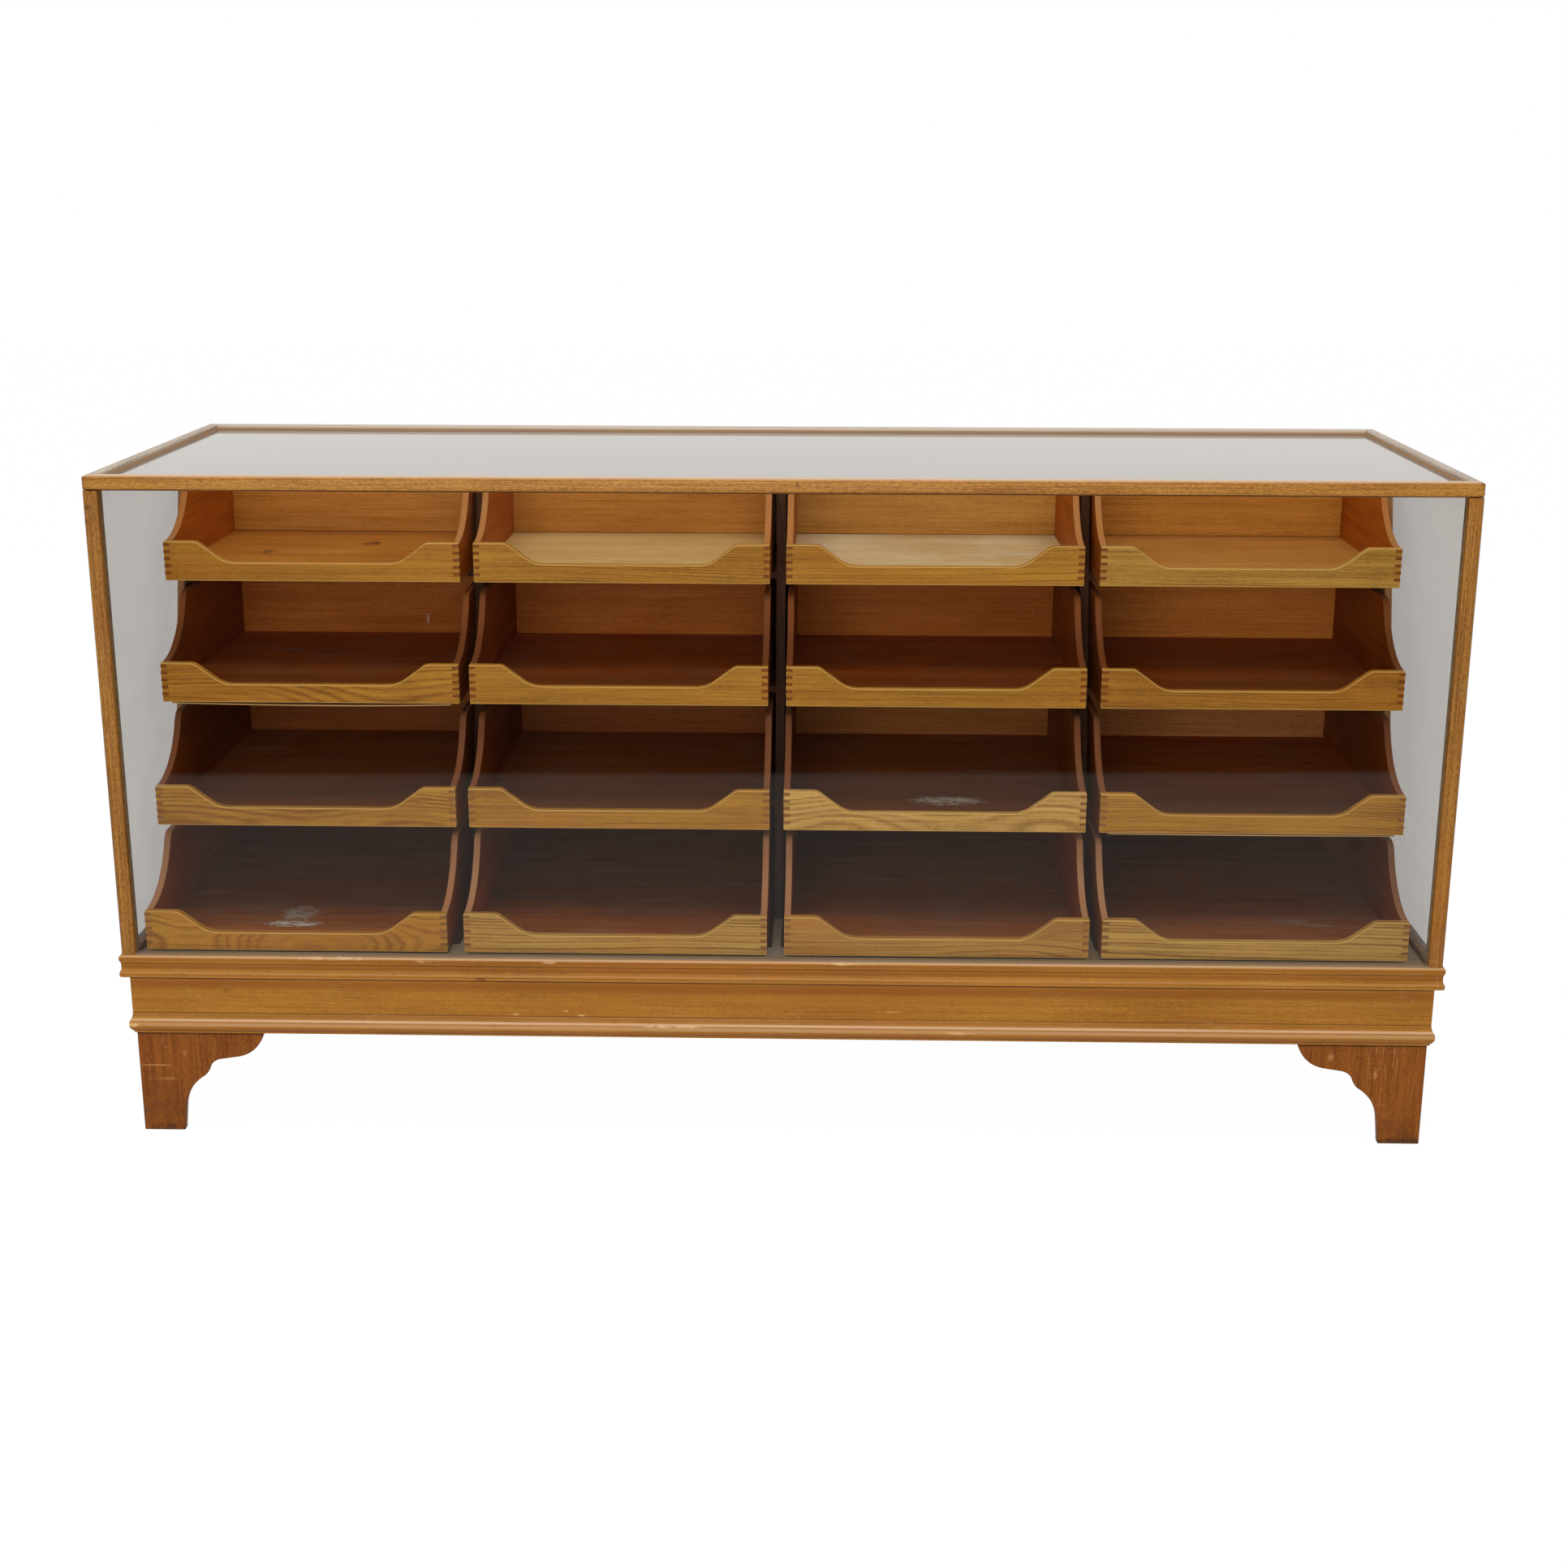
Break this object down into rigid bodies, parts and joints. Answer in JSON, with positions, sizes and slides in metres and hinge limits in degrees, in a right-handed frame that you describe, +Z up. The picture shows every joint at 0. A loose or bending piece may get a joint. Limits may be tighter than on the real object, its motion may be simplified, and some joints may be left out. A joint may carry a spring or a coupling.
{
  "type": "haberdashery cabinet",
  "caption": "Glass-cased shop counter holding a raked rack of open, dish-fronted wooden drawers that pull out at the back.",
  "frame": {"origin": "on the floor under the middle of the counter", "axes": "+X along the counter to the customer's right, +Y from the glass front to the serving side, +Z up"},
  "size_m": [1.806, 0.606, 0.92],
  "materials": {
    "frame_oak": "amber varnished oak",
    "base_oak": "orange-brown varnished oak",
    "foot_wood": "reddish brown varnish, rubbed",
    "drawer_oak": "golden oak, satin",
    "rack_wood": "dark stained, dull",
    "knob_wood": "turned, polished",
    "dark_bead": "blackened bead and hardened putty",
    "glass": "clear old sheet glass"
  },
  "bodies": {
    "case": {"top_rail_front": "frame_oak", "top_rail_right": "frame_oak", "top_rail_rear": "frame_oak", "top_rail_left": "frame_oak", "post_front_left": "frame_oak", "post_front_right": "frame_oak", "post_rear_left": "frame_oak", "post_rear_right": "frame_oak", "foot_front_left": "foot_wood", "foot_front_right": "foot_wood", "foot_rear_left": "foot_wood", "foot_rear_right": "foot_wood", "glass_front": "glass", "glass_left": "glass", "glass_right": "glass", "glass_top": "glass", "glazing_beads": "dark_bead", "top_moulding": "base_oak", "plinth_boards": "base_oak", "base_moulding": "base_oak", "deck_board": "rack_wood", "deck_bearers": "rack_wood", "rack_upright_1": "rack_wood", "rack_upright_2": "rack_wood", "rack_upright_3": "rack_wood", "rack_upright_4": "rack_wood", "rack_upright_5": "rack_wood", "rack_rails": "rack_wood"},
    "drawer_r1c1": {"drawer_r1c1_box": "drawer_oak", "drawer_r1c1_knob": "knob_wood"},
    "drawer_r1c2": {"drawer_r1c2_box": "drawer_oak", "drawer_r1c2_knob": "knob_wood"},
    "drawer_r1c3": {"drawer_r1c3_box": "drawer_oak", "drawer_r1c3_knob": "knob_wood"},
    "drawer_r1c4": {"drawer_r1c4_box": "drawer_oak", "drawer_r1c4_knob": "knob_wood"},
    "drawer_r2c1": {"drawer_r2c1_box": "drawer_oak", "drawer_r2c1_knob": "knob_wood"},
    "drawer_r2c2": {"drawer_r2c2_box": "drawer_oak", "drawer_r2c2_knob": "knob_wood"},
    "drawer_r2c3": {"drawer_r2c3_box": "drawer_oak", "drawer_r2c3_knob": "knob_wood"},
    "drawer_r2c4": {"drawer_r2c4_box": "drawer_oak", "drawer_r2c4_knob": "knob_wood"},
    "drawer_r3c1": {"drawer_r3c1_box": "drawer_oak", "drawer_r3c1_knob": "knob_wood"},
    "drawer_r3c2": {"drawer_r3c2_box": "drawer_oak", "drawer_r3c2_knob": "knob_wood"},
    "drawer_r3c3": {"drawer_r3c3_box": "drawer_oak", "drawer_r3c3_knob": "knob_wood"},
    "drawer_r3c4": {"drawer_r3c4_box": "drawer_oak", "drawer_r3c4_knob": "knob_wood"},
    "drawer_r4c1": {"drawer_r4c1_box": "drawer_oak", "drawer_r4c1_knob": "knob_wood"},
    "drawer_r4c2": {"drawer_r4c2_box": "drawer_oak", "drawer_r4c2_knob": "knob_wood"},
    "drawer_r4c3": {"drawer_r4c3_box": "drawer_oak", "drawer_r4c3_knob": "knob_wood"},
    "drawer_r4c4": {"drawer_r4c4_box": "drawer_oak", "drawer_r4c4_knob": "knob_wood"}
  },
  "joints": [
    {"name": "drawer_r1c1_slide", "type": "slide", "parent": "case", "child": "drawer_r1c1", "axis": [0, 1, 0], "range_m": [0, 0.241]},
    {"name": "drawer_r1c2_slide", "type": "slide", "parent": "case", "child": "drawer_r1c2", "axis": [0, 1, 0], "range_m": [0, 0.241]},
    {"name": "drawer_r1c3_slide", "type": "slide", "parent": "case", "child": "drawer_r1c3", "axis": [0, 1, 0], "range_m": [0, 0.241]},
    {"name": "drawer_r1c4_slide", "type": "slide", "parent": "case", "child": "drawer_r1c4", "axis": [0, 1, 0], "range_m": [0, 0.241]},
    {"name": "drawer_r2c1_slide", "type": "slide", "parent": "case", "child": "drawer_r2c1", "axis": [0, 1, 0], "range_m": [0, 0.308]},
    {"name": "drawer_r2c2_slide", "type": "slide", "parent": "case", "child": "drawer_r2c2", "axis": [0, 1, 0], "range_m": [0, 0.308]},
    {"name": "drawer_r2c3_slide", "type": "slide", "parent": "case", "child": "drawer_r2c3", "axis": [0, 1, 0], "range_m": [0, 0.308]},
    {"name": "drawer_r2c4_slide", "type": "slide", "parent": "case", "child": "drawer_r2c4", "axis": [0, 1, 0], "range_m": [0, 0.308]},
    {"name": "drawer_r3c1_slide", "type": "slide", "parent": "case", "child": "drawer_r3c1", "axis": [0, 1, 0], "range_m": [0, 0.375]},
    {"name": "drawer_r3c2_slide", "type": "slide", "parent": "case", "child": "drawer_r3c2", "axis": [0, 1, 0], "range_m": [0, 0.375]},
    {"name": "drawer_r3c3_slide", "type": "slide", "parent": "case", "child": "drawer_r3c3", "axis": [0, 1, 0], "range_m": [0, 0.375]},
    {"name": "drawer_r3c4_slide", "type": "slide", "parent": "case", "child": "drawer_r3c4", "axis": [0, 1, 0], "range_m": [0, 0.375]},
    {"name": "drawer_r4c1_slide", "type": "slide", "parent": "case", "child": "drawer_r4c1", "axis": [0, 1, 0], "range_m": [0, 0.442]},
    {"name": "drawer_r4c2_slide", "type": "slide", "parent": "case", "child": "drawer_r4c2", "axis": [0, 1, 0], "range_m": [0, 0.442]},
    {"name": "drawer_r4c3_slide", "type": "slide", "parent": "case", "child": "drawer_r4c3", "axis": [0, 1, 0], "range_m": [0, 0.442]},
    {"name": "drawer_r4c4_slide", "type": "slide", "parent": "case", "child": "drawer_r4c4", "axis": [0, 1, 0], "range_m": [0, 0.442]}
  ]
}
